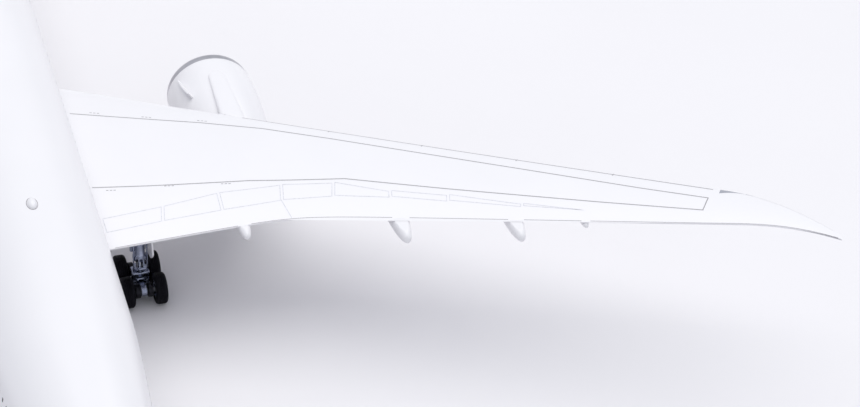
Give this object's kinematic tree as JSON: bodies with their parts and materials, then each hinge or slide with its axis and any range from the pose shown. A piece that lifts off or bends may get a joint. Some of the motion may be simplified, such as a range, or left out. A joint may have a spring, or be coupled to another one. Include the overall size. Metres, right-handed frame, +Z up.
{
  "type": "desktop airliner model",
  "caption": "Display-scale model of a twin-engine airliner with raked wing tips, standing on rolling, tilting and steering landing gear.",
  "frame": {"origin": "on the table under the middle of the model's length and span", "axes": "+Y along the fuselage towards the nose, +X towards the right wing tip, +Z up"},
  "size_m": [0.3, 0.3139, 0.087],
  "materials": {
    "white_plastic": "satin",
    "steel": "satin",
    "lip_metal": "satin",
    "grey_metal": "satin",
    "dark_metal": "satin",
    "gear_metal": "satin",
    "fan_metal": "satin",
    "hub_metal": "satin",
    "tyre_rubber": "matte"
  },
  "bodies": {
    "airframe": {"fuselage_left_shell": "white_plastic", "fuselage_right_shell": "white_plastic", "nose_ballast": "steel", "belly_fairing": "white_plastic", "belly_screws": "steel", "wing_joiner": "steel", "left_wing": "white_plastic", "right_wing": "white_plastic", "left_flap_fairings": "white_plastic", "right_flap_fairings": "white_plastic", "vertical_fin": "white_plastic", "left_tailplane": "white_plastic", "right_tailplane": "white_plastic", "tailplane_pin": "steel", "antennas": "white_plastic", "left_pylon": "white_plastic", "right_pylon": "white_plastic", "left_fan_cowl": "white_plastic", "right_fan_cowl": "white_plastic", "left_inlet_lip": "lip_metal", "right_inlet_lip": "lip_metal", "left_stator_frame": "grey_metal", "right_stator_frame": "grey_metal", "left_core_cowl": "grey_metal", "right_core_cowl": "grey_metal", "left_exhaust_plug": "dark_metal", "right_exhaust_plug": "dark_metal", "fan_shafts": "steel", "nose_gear_leg": "gear_metal", "nose_drag_brace": "gear_metal", "nose_gear_doors": "white_plastic", "left_main_strut": "gear_metal", "right_main_strut": "gear_metal", "main_gear_braces": "gear_metal", "main_gear_doors": "white_plastic", "bogie_pivot_pins": "steel"},
    "left_fan_rotor": {"left_fan": "fan_metal", "left_spinner": "grey_metal"},
    "right_fan_rotor": {"right_fan": "fan_metal", "right_spinner": "grey_metal"},
    "nose_steering": {"nose_fork": "gear_metal"},
    "nose_wheels": {"nose_axle": "steel", "nose_hubs": "hub_metal", "nose_tyres": "tyre_rubber"},
    "left_bogie": {"left_bogie_beam": "gear_metal"},
    "right_bogie": {"right_bogie_beam": "gear_metal"},
    "left_front_wheels": {"left_front_axle": "steel", "left_front_hubs": "hub_metal", "left_front_tyres": "tyre_rubber"},
    "left_rear_wheels": {"left_rear_axle": "steel", "left_rear_hubs": "hub_metal", "left_rear_tyres": "tyre_rubber"},
    "right_front_wheels": {"right_front_axle": "steel", "right_front_hubs": "hub_metal", "right_front_tyres": "tyre_rubber"},
    "right_rear_wheels": {"right_rear_axle": "steel", "right_rear_hubs": "hub_metal", "right_rear_tyres": "tyre_rubber"}
  },
  "joints": [
    {"name": "left_fan_spin", "type": "hinge", "parent": "airframe", "child": "left_fan_rotor", "pos_m": [-0.0485, 0.0355, 0.0166], "axis": [0, 1, 0], "continuous": true},
    {"name": "right_fan_spin", "type": "hinge", "parent": "airframe", "child": "right_fan_rotor", "pos_m": [0.0485, 0.0355, 0.0166], "axis": [0, 1, 0], "continuous": true},
    {"name": "left_bogie_tilt", "type": "hinge", "parent": "airframe", "child": "left_bogie", "pos_m": [-0.02438, -0.0019, 0.0033], "axis": [1, 0, 0], "range_deg": [-12, 12]},
    {"name": "left_front_roll", "type": "hinge", "parent": "left_bogie", "child": "left_front_wheels", "pos_m": [-0.02438, 0.00175, 0.0033], "axis": [1, 0, 0], "continuous": true},
    {"name": "left_rear_roll", "type": "hinge", "parent": "left_bogie", "child": "left_rear_wheels", "pos_m": [-0.02438, -0.00555, 0.0033], "axis": [1, 0, 0], "continuous": true},
    {"name": "right_bogie_tilt", "type": "hinge", "parent": "airframe", "child": "right_bogie", "pos_m": [0.02438, -0.0019, 0.0033], "axis": [1, 0, 0], "range_deg": [-12, 12]},
    {"name": "right_front_roll", "type": "hinge", "parent": "right_bogie", "child": "right_front_wheels", "pos_m": [0.02438, 0.00175, 0.0033], "axis": [1, 0, 0], "continuous": true},
    {"name": "right_rear_roll", "type": "hinge", "parent": "right_bogie", "child": "right_rear_wheels", "pos_m": [0.02438, -0.00555, 0.0033], "axis": [1, 0, 0], "continuous": true},
    {"name": "nose_steer", "type": "hinge", "parent": "airframe", "child": "nose_steering", "pos_m": [0, 0.122, 0.00255], "axis": [0, 0, 1], "range_deg": [-35, 35]},
    {"name": "nose_roll", "type": "hinge", "parent": "nose_steering", "child": "nose_wheels", "pos_m": [0, 0.122, 0.00255], "axis": [1, 0, 0], "continuous": true}
  ]
}
